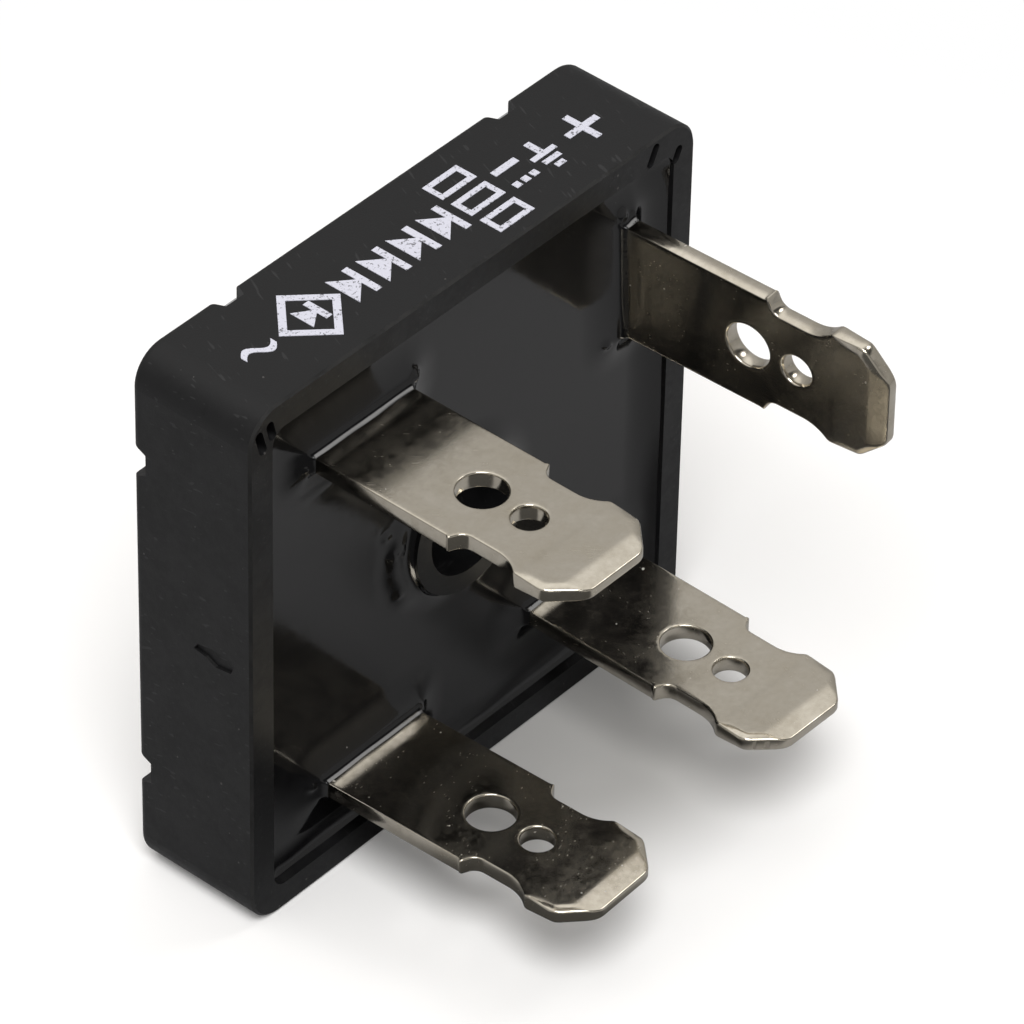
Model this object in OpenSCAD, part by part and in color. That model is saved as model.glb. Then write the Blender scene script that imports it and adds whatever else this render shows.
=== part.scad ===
// Potted single-phase bridge rectifier with four blade terminals and one screw hole.
// It is drawn lying on its mounting face, with the blades up, and stand() then sets it
// on one side: the blades point to -Y, the marked side is on top, and the origin is the
// middle of the screw hole at the mounting face.

/* [Case] */
// Width of the square case
case_w = 28.6; // [28:0.1:32]
// Height of the case from its base edge to its rim
case_h = 6.7; // [6.2:0.1:8.4]
// Thickness of the case wall
case_wall = 1.4; // [1.2:0.1:1.7]
// Radius of the four upright corners
corner_r = 1.7; // [1.2:0.1:2.4]
// Radius of the inner corners of the case
cavity_r = 0.8; // [0.5:0.1:1.4]
// Radius of the base edge of the case
base_edge_r = 0.35; // [0.2:0.05:0.5]
// Bevel of the outer rim edge of the case
rim_bevel = 0.12; // [0.05:0.01:0.25]
// Width of the ledge that the base plate seats against
ledge_w = 0.6; // [0.4:0.1:0.9]
// Height of that ledge
ledge_h = 0.8; // [0.5:0.1:1.2]
// Distance of each base notch from the middle of its side
notch_x = 8.7; // [6:0.1:10]
// Width of a base notch at its mouth
notch_w = 1.8; // [1.2:0.1:2.6]
// Depth of a base notch
notch_d = 0.75; // [0.4:0.05:0.8]
// How far each side of a notch slopes in
notch_slope = 0.35; // [0:0.05:0.5]
// Length of the gate mark on the left side
gate_l = 2.3; // [1.5:0.1:3]
// Width of the gate mark
gate_w = 0.9; // [0.5:0.1:1.4]
// Depth of the gate mark
gate_d = 0.14; // [0.05:0.01:0.3]
// Distance of the gate mark from the rim
gate_drop = 1; // [0.5:0.1:2]
// Upward place of the gate mark
gate_y = 0.2; // [-2:0.1:2]
// Width of a moulding pit in the rim
pit_w = 0.45; // [0.3:0.05:0.5]
// Depth of a moulding pit
pit_d = 0.6; // [0.3:0.1:1]

/* [Base plate and sleeve] */
// Thickness of the aluminium base plate
plate_t = 1.5; // [1.2:0.1:2]
// How far the base plate stands out of the case
plate_proud = 0.6; // [0.3:0.1:0.8]
// Gap between the base plate and the case wall
plate_gap = 0.1; // [0.05:0.05:0.2]
// Diameter of the screw hole
hole_d = 5.3; // [4.5:0.1:5.8]
// Wall of the sleeve round the screw hole
sleeve_wall = 0.95; // [0.7:0.05:1.2]
// How far the sleeve ends below the rim
sleeve_drop = 0.1; // [0:0.05:0.4]

/* [Terminals] */
// Width of a blade
blade_w = 6.3; // [6.1:0.1:6.5]
// Thickness of a blade
blade_t = 0.8; // [0.6:0.1:1]
// Height of the blade tips above the rim
blade_h = 13.8; // [12:0.1:16]
// Distance from the tip to the shoulders
shoulder_drop = 6.35; // [6:0.05:6.8]
// Size of the small burr at each shoulder
burr = 0.08; // [0.04:0.02:0.14]
// Distance from the tip to where the neck starts to widen
neck_drop = 4.4; // [4:0.1:4.8]
// How far the neck is set in on each side
neck_in = 0.62; // [0.4:0.02:0.8]
// Distance from the tip to the full width of the head
head_drop = 2.9; // [2.6:0.1:3.2]
// How far the head is set in on each side
head_in = 0.06; // [0:0.02:0.2]
// Chamfer of the two tip corners
tip_chamfer = 1.4; // [1:0.1:1.6]
// Radius that eases each chamfer
tip_round = 0.8; // [0.4:0.1:1]
// Length of the coined bevel at the tip
coin_l = 0.95; // [0.8:0.05:1.4]
// Depth of the coined bevel on each face
coin_d = 0.18; // [0.1:0.02:0.3]
// Width of the coined bevel along the sides and chamfers of the head
coin_side = 0.3; // [0.2:0.05:0.5]
// Depth of that side bevel on each face
coin_side_d = 0.12; // [0.06:0.02:0.2]
// Diameter of the wire hole
wire_hole_d = 2.3; // [1.8:0.1:2.6]
// Distance of the wire hole from the tip
wire_hole_drop = 7.4; // [7.2:0.1:8]
// Diameter of the latch hole
latch_hole_d = 1.6; // [1.3:0.1:1.8]
// Distance of the latch hole from the tip
latch_hole_drop = 4.8; // [4.6:0.1:5]
// Length of a terminal's soldered foot beyond the blade
foot_l = 2.5; // [1.5:0.1:2.8]
// Distance of the left AC blade's middle from the left side
ac_left_in = 7.3; // [6.8:0.1:8.3]
// Distance of the left AC blade's middle from the marked side
ac_left_down = 4.9; // [4.5:0.1:5.5]
// Distance of the negative blade's middle from the left side
neg_in = 8; // [6.8:0.1:8.3]
// Distance of the negative blade's middle from the side it stands on
neg_up = 4.8; // [4.5:0.1:5.5]
// Distance of the right AC blade's middle from the right side
ac_right_in = 7.1; // [6.5:0.1:7.7]
// Distance of the right AC blade's middle from the side it stands on
ac_right_up = 6.1; // [4.9:0.1:6.3]
// Distance of the positive blade's middle, turned a quarter, from the right side
pos_in = 4; // [3.9:0.1:5.3]
// Distance of the positive blade's middle from the marked side
pos_down = 7; // [6.3:0.1:7.3]
// Twist of the positive terminal, in degrees
pos_twist = 2.8; // [0:0.2:4]
// Lean of the positive blade across its face, in degrees
pos_lean = 3.2; // [0:0.2:4]
// Lean of the positive blade along its face, in degrees
pos_side_lean = 1.6; // [0:0.2:3]
// Lean of the negative blade along its face, in degrees
neg_lean = 1.8; // [0:0.2:3]
// Lean of the right AC blade along its face, in degrees
ac_right_lean = 0.8; // [0:0.2:3]

/* [Bridge circuit] */
// Thickness of the insulating sheet
sheet_t = 0.4; // [0.3:0.1:0.6]
// Gap between the insulating sheet and the ledge
sheet_gap = 0.2; // [0.1:0.1:0.5]
// Thickness of the copper plates and links
copper_t = 0.5; // [0.4:0.1:0.6]
// Side of a diode chip
chip_w = 3.6; // [3:0.1:4]
// Thickness of a diode chip
chip_t = 0.3; // [0.25:0.05:0.4]
// Thickness of a solder layer
solder_t = 0.1; // [0.08:0.02:0.16]
// Distance of each diode chip's middle from the nearest side
chip_in = 6.3; // [5.9:0.1:6.7]
// Copper left round a chip or a foot
copper_rim = 0.5; // [0.3:0.1:0.6]

/* [Potting] */
// Depth of the potting's surface below the rim
potting_drop = 0.8; // [0.6:0.1:1]
// How far the potting climbs the case wall
wall_climb = 0.5; // [0.3:0.05:0.55]
// How far the potting climbs a blade
blade_climb = 0.7; // [0.4:0.1:0.9]
// How far the potting climbs the sleeve
sleeve_climb = 0.45; // [0.2:0.05:0.5]
// How far a climb reaches out for each millimetre of its height
climb_reach = 1.3; // [1:0.1:1.4]
// Thickness of the potting at the top of its climb
film = 0.03; // [0.02:0.01:0.05]
// Clearance between round potted surfaces
round_gap = 0.02; // [0.01:0.01:0.05]

/* [Marking] */
// Thickness of the printed ink
ink_t = 0.03; // [0.02:0.01:0.06]
// Height of the printed row of symbols
mark_h = 2; // [1.5:0.1:2.2]
// Distance of the row's middle from the rim
mark_drop = 2.95; // [2.7:0.05:3.2]
// Width of a printed stroke
stroke = 0.36; // [0.3:0.02:0.45]
// Place of the alternating current sign along the row, from its middle
sine_x = -10.5; // [-11:0.1:-10.3]
// Place of the bridge sign
bridge_x = -7.35; // [-7.5:0.05:-7.25]
// Place of the first diode sign
diodes_x = -4.7; // [-4.8:0.1:-4.5]
// Place of the stack of fuse signs
fuses_x = 3.35; // [3.15:0.1:3.55]
// Place of the direct current sign
direct_x = 5.75; // [5.65:0.1:5.95]
// Place of the earth sign
earth_x = 7.6; // [7.5:0.1:7.8]
// Place of the plus sign
plus_x = 10.15; // [9.95:0.1:11.15]

/* [Hidden] */
$fn = 64;

over = 1;  // how far a cut runs past the face it opens
sink = 0.2;  // how far a fillet reaches below the potting's surface

// Where the blades and the chips are, from the axis of the screw hole
half_w = case_w / 2;
ac_left_x = ac_left_in - half_w;
ac_left_y = half_w - ac_left_down;
neg_x = neg_in - half_w;
neg_y = neg_up - half_w;
ac_right_x = half_w - ac_right_in;
ac_right_y = ac_right_up - half_w;
pos_x = half_w - pos_in;
pos_y = half_w - pos_down;
chip_r = half_w - chip_in;

// How each terminal stands: the turn that points its foot, and its lean about X and Y
pos_turn = -90 + pos_twist;
pos_tilt = [-pos_lean, pos_side_lean, 0];
neg_turn = 180;
neg_tilt = [0, -neg_lean, 0];
ac_left_turn = 0;
ac_left_tilt = [0, 0, 0];
ac_right_turn = 180;
ac_right_tilt = [0, ac_right_lean, 0];

// Heights above the mounting face
case_z = plate_proud;
rim_z = case_z + case_h;
sheet_z = plate_t;
copper_z = sheet_z + sheet_t;
under_z = copper_z + copper_t;
chip_z = under_z + solder_t;
top_z = chip_z + chip_t;
link_z = top_z + solder_t;
link_top_z = link_z + copper_t;
low_foot_z = under_z + solder_t;
high_foot_z = link_top_z + solder_t;
pool_z = rim_z - potting_drop;
tip_z = rim_z + blade_h;

// Plan sizes
cavity_w = case_w - 2 * case_wall;
ledge_in = cavity_w - 2 * ledge_w;
plate_w = cavity_w - 2 * plate_gap;
sheet_w = ledge_in - 2 * sheet_gap;
hole_r = hole_d / 2;
sleeve_r = hole_r + sleeve_wall;
chip_edge = chip_w / 2 + copper_rim;
copper_out = sheet_w / 2 - copper_rim;
foot_edge = blade_t / 2 + foot_l + copper_rim;
rim_mid = (case_w - case_wall) / 2;
neck_w = blade_w - 2 * neck_in;
head_w = blade_w - 2 * head_in;
wall_reach = min(climb_reach * wall_climb, cavity_r - 2 * film);
blade_reach = climb_reach * blade_climb;
sleeve_reach = climb_reach * sleeve_climb;

module stand() {
  rotate([90, 0, 0]) children();
}

// Shapes seen in plan

module round_square(w, r) {
  union() {
    square([w, w - 2 * r], center = true);
    square([w - 2 * r, w], center = true);
    for (x = [-1, 1])
      for (y = [-1, 1])
        translate([x * (w / 2 - r), y * (w / 2 - r)]) circle(r = r);
  }
}

module from_to(x0, y0, x1, y1) {
  translate([x0, y0]) square([x1 - x0, y1 - y0]);
}

// The case

// Half of the case's section: a round base edge and a small bevel at the rim
module case_section(w) {
  difference() {
    translate([0, case_z]) square([w, case_h]);
    translate([w - base_edge_r, case_z - over])
      square([base_edge_r + over, base_edge_r + over]);
    polygon([[w - rim_bevel, rim_z], [w + over, rim_z], [w + over, rim_z - rim_bevel],
             [w, rim_z - rim_bevel]]);
  }
  translate([w - base_edge_r, case_z + base_edge_r]) circle(r = base_edge_r);
}

module case_bar(l) {
  translate([0, l / 2, 0])
    rotate([90, 0, 0])
      linear_extrude(l)
        for (side = [0, 1])
          mirror([side, 0]) case_section(half_w);
}

module case_block() {
  flat = half_w - corner_r;
  case_bar(2 * flat);
  rotate([0, 0, 90]) case_bar(2 * flat);
  for (x = [-1, 1])
    for (y = [-1, 1])
      translate([x * flat, y * flat, 0])
        rotate_extrude() case_section(corner_r);
}

module notch_cut() {
  floor_w = notch_w - 2 * notch_slope;
  translate([notch_x, half_w + over, 0])
    rotate([90, 0, 0])
      linear_extrude(case_wall + 2 * over)
        polygon([[-notch_w / 2, case_z], [-notch_w / 2 - over, case_z - over],
                 [notch_w / 2 + over, case_z - over], [notch_w / 2, case_z],
                 [floor_w / 2, case_z + notch_d], [-floor_w / 2, case_z + notch_d]]);
}

// A rough slit where the sprue broke off, on the left side
module gate_cut() {
  translate([-half_w - over, gate_y, rim_z - gate_drop - gate_l])
    rotate([90, 0, 90])
      linear_extrude(over + gate_d)
        polygon([[-0.1 * gate_w, 0], [0.3 * gate_w, 0.1 * gate_l], [0.5 * gate_w, 0.45 * gate_l],
                 [0.42 * gate_w, 0.95 * gate_l], [0.1 * gate_w, gate_l],
                 [-0.35 * gate_w, 0.92 * gate_l], [-0.5 * gate_w, 0.55 * gate_l],
                 [-0.2 * gate_w, 0.3 * gate_l]]);
}

// One pit in the rim, a slot with round ends; x and y are its distances from the middle
// lines of the two rims that meet at that corner
module pit_cut(side, x, y, turn, l) {
  run = (l - pit_w) / 2;
  translate([side * (rim_mid - x), rim_mid - y, rim_z - pit_d])
    rotate([0, 0, turn])
      linear_extrude(pit_d + over)
        union() {
          square([pit_w, 2 * run], center = true);
          for (s = [-1, 1])
            translate([0, s * run]) circle(d = pit_w);
        }
}

module corner_pits() {
  pit_cut(-1, 0, 0.8, 16, 1.35);
  pit_cut(-1, 0.63, 0.5, 14, 1.05);
  pit_cut(1, 2.15, 0.1, -26, 1.2);
  pit_cut(1, 0.5, 0.95, -26, 0.9);
}

module case_shape() {
  difference() {
    case_block();
    translate([0, 0, plate_t + ledge_h])
      linear_extrude(case_h + over) round_square(cavity_w, cavity_r);
    translate([0, 0, -over])
      linear_extrude(plate_t + over) round_square(cavity_w, cavity_r);
    linear_extrude(rim_z) round_square(ledge_in, cavity_r);
    for (turn = [0, 90, 180, 270])
      for (side = [0, 1])
        rotate([0, 0, turn]) mirror([side, 0, 0]) notch_cut();
    gate_cut();
    corner_pits();
  }
}

module case() {
  color([0.17, 0.17, 0.175]) stand() case_shape();
}

// The base plate, the sleeve and the sheet

module base_plate() {
  color([0.75, 0.76, 0.77])
    stand()
      difference() {
        linear_extrude(plate_t) round_square(plate_w, cavity_r);
        translate([0, 0, -over]) cylinder(r = hole_r, h = plate_t + 2 * over);
      }
}

module hole_sleeve() {
  color([0.15, 0.15, 0.155])
    stand()
      translate([0, 0, plate_t])
        difference() {
          cylinder(r = sleeve_r, h = rim_z - sleeve_drop - plate_t);
          translate([0, 0, -over]) cylinder(r = hole_r, h = rim_z + over);
        }
}

module insulating_sheet() {
  color([0.9, 0.9, 0.86])
    stand()
      translate([0, 0, sheet_z])
        difference() {
          linear_extrude(sheet_t) round_square(sheet_w, cavity_r);
          translate([0, 0, -over]) cylinder(r = sleeve_r + round_gap, h = sheet_t + 2 * over);
        }
}

// The copper plates and links

module plate_positive_plan() {
  from_to(-chip_edge, chip_r - chip_edge, copper_out, copper_out);
  from_to(chip_r - chip_edge, -chip_edge, copper_out, copper_out);
}

module plate_negative_plan() {
  from_to(-copper_out, -copper_out, chip_edge, -chip_r + chip_edge);
  from_to(-copper_out, -copper_out, -chip_r + chip_edge, chip_edge);
}

module link_left_plan() {
  low = min(chip_r - chip_edge, ac_left_y - foot_edge);
  from_to(ac_left_x - blade_w / 2 - copper_rim, low, chip_edge, ac_left_y + blade_t / 2 + copper_rim);
  from_to(ac_left_x - blade_w / 2 - copper_rim, -chip_edge, -chip_r + chip_edge, ac_left_y);
}

module link_right_plan() {
  high = max(-chip_r + chip_edge, ac_right_y + foot_edge);
  from_to(-chip_edge, ac_right_y - blade_t / 2 - copper_rim, ac_right_x + blade_w / 2 + copper_rim, high);
  from_to(chip_r - chip_edge, ac_right_y, ac_right_x + blade_w / 2 + copper_rim, chip_edge);
}

module copper(z) {
  color([0.72, 0.45, 0.3])
    stand()
      translate([0, 0, z])
        linear_extrude(copper_t) union() children();
}

module plate_positive() {
  copper(copper_z) plate_positive_plan();
}

module plate_negative() {
  copper(copper_z) plate_negative_plan();
}

module link_ac_left() {
  copper(link_z) link_left_plan();
}

module link_ac_right() {
  copper(link_z) link_right_plan();
}

// The diode chips and their solder

// A square layer at one of the four chip places, counted clockwise from the top
module chip_layer(turn, z, h) {
  translate([chip_r * sin(turn), chip_r * cos(turn), z])
    linear_extrude(h) square(chip_w, center = true);
}

module diode(turn) {
  color([0.25, 0.26, 0.3]) stand() chip_layer(turn, chip_z, chip_t);
}

module solder_under(turn) {
  color([0.8, 0.8, 0.82]) stand() chip_layer(turn, under_z, solder_t);
}

module solder_over(turn) {
  color([0.8, 0.8, 0.82]) stand() chip_layer(turn, top_z, solder_t);
}

// The terminals

function arc(x, y, r, a0, a1, n = 5) =
  [for (i = [0:n]) let (a = a0 + (a1 - a0) * i / n) [x + r * cos(a), y + r * sin(a)]];

// Right-hand edge of the blade's head, from the shoulder up; v is 0 at the tip. The neck
// widens to the head in an S of two arcs that turn by the same angle.
function head_edge() =
  let (s = blade_w / 2, n = neck_w / 2, h = head_w / 2, c = tip_chamfer, k = tip_round,
       step = s - n, ease = k * tan(22.5),
       turn = 2 * atan((h - n) / (neck_drop - head_drop)),
       r = (h - n) / (1 - cos(turn)), r_neck = 0.85 * r, r_head = 0.15 * r)
  concat(
    [[s, -shoulder_drop - 3 * burr]],
    arc(s, -shoulder_drop - 2 * burr, burr, -60, 60, 4),
    arc(n + step, -shoulder_drop + step, step, 250, 180, 5),
    arc(n + r_neck, -neck_drop, r_neck, 180, 180 - turn, 5),
    arc(h - r_head, -head_drop, r_head, -turn, 0, 3),
    arc(h - k, -c - ease, k, 0, 45, 5),
    arc(h - c - ease, -k, k, 45, 90, 5)
  );

// Outline of a blade of length l below the tip
module blade_outline(l) {
  right = head_edge();
  left = [for (i = [len(right) - 1:-1:0]) [-right[i][0], right[i][1]]];
  polygon(concat([[blade_w / 2, -l]], right, left, [[-blade_w / 2, -l]]));
}

// A wedge that coins one edge of the head on both faces; the edge lies on the X axis
module coin_cut(reach, depth) {
  for (side = [0, 1])
    mirror([0, side, 0])
      rotate([90, 0, 90])
        linear_extrude(2 * blade_w, center = true)
          polygon([[blade_t / 2, -reach], [blade_t / 2 - depth, 0],
                   [blade_t / 2 - depth, over], [blade_t / 2 + over, over],
                   [blade_t / 2 + over, -reach]]);
}

// The coined bevels: across the tip, over the chamfers and along the sides of the head
module coined_edges() {
  coin_cut(coin_l, coin_d);
  for (side = [-1, 1]) {
    translate([side * (head_w - tip_chamfer) / 2, 0, -tip_chamfer / 2])
      rotate([0, side * 45, 0])
        intersection() {
          coin_cut(coin_side, coin_side_d);
          translate([-tip_chamfer, -blade_t, -tip_chamfer])
            cube([2 * tip_chamfer, 2 * blade_t, 2 * tip_chamfer]);
        }
    translate([side * head_w / 2, 0, 0])
      rotate([0, side * 90, 0])
        intersection() {
          coin_cut(coin_side, coin_side_d);
          translate([side > 0 ? 0 : -head_drop, -blade_t, -blade_w / 4])
            cube([head_drop, 2 * blade_t, blade_w / 2]);
        }
  }
}

// A blade that stands on its foot at height z, with its middle plane at y = 0
module blade(z) {
  l = tip_z - z;
  translate([0, 0, tip_z])
    difference() {
      translate([0, blade_t / 2, 0])
        rotate([90, 0, 0])
          linear_extrude(blade_t) blade_outline(l);
      for (hole = [[wire_hole_drop, wire_hole_d], [latch_hole_drop, latch_hole_d]])
        translate([0, blade_t, -hole[0]])
          rotate([90, 0, 0]) cylinder(d = hole[1], h = 2 * blade_t);
      coined_edges();
    }
}

module foot(z) {
  translate([-blade_w / 2, -blade_t / 2 - foot_l, z]) cube([blade_w, foot_l + blade_t, blade_t]);
}

// A terminal at its place: turn points the foot, tilt leans the blade about its foot's top
module terminal_at(x, y, z, turn, tilt) {
  pivot = z + blade_t;
  translate([x, y, 0])
    rotate([0, 0, turn]) {
      foot(z);
      translate([0, 0, pivot])
        rotate(tilt)
          translate([0, 0, -pivot])
            difference() {
              blade(z);
              translate([-blade_w, -blade_w, z - over]) cube([2 * blade_w, 2 * blade_w, over + blade_t / 2]);
            }
    }
}

module positive_shape() {
  terminal_at(pos_x, pos_y, low_foot_z, pos_turn, pos_tilt);
}

module negative_shape() {
  terminal_at(neg_x, neg_y, low_foot_z, neg_turn, neg_tilt);
}

module ac_left_shape() {
  terminal_at(ac_left_x, ac_left_y, high_foot_z, ac_left_turn, ac_left_tilt);
}

module ac_right_shape() {
  terminal_at(ac_right_x, ac_right_y, high_foot_z, ac_right_turn, ac_right_tilt);
}

module nickel() {
  color([0.78, 0.75, 0.7]) stand() children();
}

module terminal_positive() {
  nickel() positive_shape();
}

module terminal_negative() {
  nickel() negative_shape();
}

module terminal_ac_left() {
  nickel() ac_left_shape();
}

module terminal_ac_right() {
  nickel() ac_right_shape();
}

// The solder under the feet

module foot_pad(x, y, z, turn) {
  translate([x, y, z])
    rotate([0, 0, turn])
      translate([-blade_w / 2, -blade_t / 2 - foot_l, 0])
        cube([blade_w, foot_l + blade_t, solder_t]);
}

module foot_solder(x, y, z, turn) {
  color([0.8, 0.8, 0.82]) stand() foot_pad(x, y, z, turn);
}

module solder_foot_positive() {
  foot_solder(pos_x, pos_y, under_z, pos_turn);
}

module solder_foot_negative() {
  foot_solder(neg_x, neg_y, under_z, neg_turn);
}

module solder_foot_ac_left() {
  foot_solder(ac_left_x, ac_left_y, link_top_z, ac_left_turn);
}

module solder_foot_ac_right() {
  foot_solder(ac_right_x, ac_right_y, link_top_z, ac_right_turn);
}

// The potting

// Concave fillet from [x + reach, z] up to [x, z + climb]
function fillet(x, z, reach, climb, n = 5) =
  [for (i = [0:n]) let (a = 90 * i / n) [x + reach * (1 - sin(a)), z + climb * (1 - cos(a))]];

module pool_section(w) {
  half = w / 2 - film;
  side = fillet(0, 0, wall_reach, wall_climb);
  polygon(concat([[0, 0]], [for (p = side) [half - p[0], p[1]]],
                 [[half, wall_climb + over], [0, wall_climb + over]]));
}

module pool_bar(w, l) {
  translate([0, l / 2, pool_z])
    rotate([90, 0, 0])
      linear_extrude(l)
        for (side = [0, 1])
          mirror([side, 0]) pool_section(w);
}

// The space above the potting: its lower edge is rounded where the potting climbs the wall
module pool() {
  flat = cavity_w / 2 - cavity_r;
  pool_bar(cavity_w, 2 * flat);
  rotate([0, 0, 90]) pool_bar(cavity_w, 2 * flat);
  for (x = [-1, 1])
    for (y = [-1, 1])
      translate([x * flat, y * flat, pool_z])
        rotate_extrude() pool_section(2 * cavity_r);
}

module blade_fillet() {
  side = fillet(0, 0, blade_reach, blade_climb);
  corner = concat([[0, -sink], [blade_reach, -sink]], side);
  for (size = [[blade_w, blade_t, 0], [blade_t, blade_w, 90]])
    rotate([0, 0, size[2]])
      for (half = [0, 1])
        mirror([0, half, 0])
          translate([-size[0] / 2, size[1] / 2, 0])
            rotate([90, 0, 90])
              linear_extrude(size[0])
                polygon(concat([[-size[1] / 2, -sink], [blade_reach, -sink]], side,
                               [[-size[1] / 2, blade_climb]]));
  for (x = [-1, 1])
    for (y = [-1, 1])
      translate([x * blade_w / 2, y * blade_t / 2, 0])
        rotate_extrude() polygon(corner);
}

module fillet_at(x, y, z, turn, tilt) {
  pivot = z + blade_t;
  translate([x, y, pivot])
    rotate([0, 0, turn])
      rotate(tilt)
        translate([0, 0, pool_z - pivot]) blade_fillet();
}

module sleeve_fillet() {
  side = fillet(sleeve_r, pool_z, sleeve_reach, sleeve_climb);
  rotate_extrude()
    polygon(concat([[sleeve_r - sink, pool_z - sink], [sleeve_r + sleeve_reach, pool_z - sink]],
                   side, [[sleeve_r - sink, pool_z + sleeve_climb]]));
}

module potted_block() {
  translate([0, 0, plate_t])
    linear_extrude(ledge_h) round_square(ledge_in, cavity_r + round_gap);
  difference() {
    translate([0, 0, plate_t + ledge_h])
      linear_extrude(pool_z + wall_climb - plate_t - ledge_h)
        round_square(cavity_w, cavity_r + round_gap);
    pool();
  }
  fillet_at(pos_x, pos_y, low_foot_z, pos_turn, pos_tilt);
  fillet_at(neg_x, neg_y, low_foot_z, neg_turn, neg_tilt);
  fillet_at(ac_left_x, ac_left_y, high_foot_z, ac_left_turn, ac_left_tilt);
  fillet_at(ac_right_x, ac_right_y, high_foot_z, ac_right_turn, ac_right_tilt);
  sleeve_fillet();
}

module potted_pieces() {
  translate([0, 0, plate_t - over]) cylinder(r = sleeve_r + round_gap, h = rim_z + over);
  translate([0, 0, sheet_z - over])
    linear_extrude(sheet_t + over) round_square(sheet_w, cavity_r - round_gap);
  translate([0, 0, copper_z])
    linear_extrude(copper_t)
      union() {
        plate_positive_plan();
        plate_negative_plan();
      }
  translate([0, 0, link_z])
    linear_extrude(copper_t)
      union() {
        link_left_plan();
        link_right_plan();
      }
  for (turn = [0, 90, 180, 270])
    chip_layer(turn, under_z, link_z - under_z);
  foot_pad(pos_x, pos_y, under_z, pos_turn);
  foot_pad(neg_x, neg_y, under_z, neg_turn);
  foot_pad(ac_left_x, ac_left_y, link_top_z, ac_left_turn);
  foot_pad(ac_right_x, ac_right_y, link_top_z, ac_right_turn);
  positive_shape();
  negative_shape();
  ac_left_shape();
  ac_right_shape();
}

module potting() {
  color([0.1, 0.1, 0.105])
    stand()
      difference() {
        potted_block();
        potted_pieces();
      }
}

// The printed marks, drawn from the rim upwards on the marked side

module sine_mark(l) {
  low = [for (i = [0:16]) [l * (i / 16 - 0.5), 0.17 * l * sin(360 * i / 16) - stroke / 2]];
  high = [for (i = [16:-1:0]) [l * (i / 16 - 0.5), 0.17 * l * sin(360 * i / 16) + stroke / 2]];
  polygon(concat(low, high));
}

module plus_mark(l) {
  square([l, stroke], center = true);
  square([stroke, l], center = true);
}

module diode_mark(l, h) {
  polygon([[-l / 2, -h / 2], [l / 2, 0], [-l / 2, h / 2]]);
  translate([l / 2, 0]) square([stroke, h], center = true);
}

module frame_mark(l, h) {
  difference() {
    square([l, h], center = true);
    square([l - 2 * stroke * 0.8, h - 2 * stroke * 0.8], center = true);
  }
}

// The usual sign for a bridge: a diamond round one diode
module bridge_mark(s) {
  rotate(45)
    difference() {
      square(s, center = true);
      square(s - 2 * stroke, center = true);
    }
  diode_mark(0.36 * s, 0.5 * s);
}

module direct_mark(l) {
  translate([0, 0.3 * mark_h]) square([l, stroke], center = true);
  for (x = [-1, 0, 1])
    translate([x * 0.37 * l, -0.3 * mark_h]) square([0.24 * l, stroke], center = true);
}

module earth_mark(l) {
  translate([0, 0.25 * mark_h]) square([stroke, 0.5 * mark_h], center = true);
  for (i = [0:2])
    translate([0, -i * 0.24 * mark_h]) square([l * (1 - 0.32 * i), stroke * 0.8], center = true);
}

// The row of symbols: each is set at its place along the row, from the left
module marks_plan() {
  row = mark_drop;
  translate([sine_x, row]) sine_mark(0.9 * mark_h);
  translate([bridge_x, row]) bridge_mark(1.35 * mark_h);
  for (i = [0:3])
    translate([diodes_x + 0.95 * mark_h * i, row]) diode_mark(0.6 * mark_h, mark_h);
  for (i = [-1:1])
    translate([fuses_x, row + 0.82 * mark_h * i]) frame_mark(1.1 * mark_h, 0.6 * mark_h);
  translate([direct_x, row]) direct_mark(0.75 * mark_h);
  translate([earth_x, row]) earth_mark(0.75 * mark_h);
  translate([plus_x, row]) plus_mark(mark_h);
}

module printed_marks() {
  color([0.86, 0.86, 0.9])
    translate([0, -rim_z, half_w])
      linear_extrude(ink_t) union() marks_plan();
}

case();
base_plate();
hole_sleeve();
insulating_sheet();
potting();
terminal_positive();
terminal_negative();
terminal_ac_left();
terminal_ac_right();
plate_positive();
plate_negative();
link_ac_left();
link_ac_right();
diode(0);  // diode_top
diode(90);  // diode_right
diode(180);  // diode_bottom
diode(270);  // diode_left
solder_under(0);  // solder_under_top
solder_under(90);  // solder_under_right
solder_under(180);  // solder_under_bottom
solder_under(270);  // solder_under_left
solder_over(0);  // solder_over_top
solder_over(90);  // solder_over_right
solder_over(180);  // solder_over_bottom
solder_over(270);  // solder_over_left
solder_foot_positive();
solder_foot_negative();
solder_foot_ac_left();
solder_foot_ac_right();
printed_marks();
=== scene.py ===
import bpy
import numpy as np
from math import atan, cos, degrees, radians, sin, sqrt, tan
from mathutils import Matrix, Vector, geometry


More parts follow.
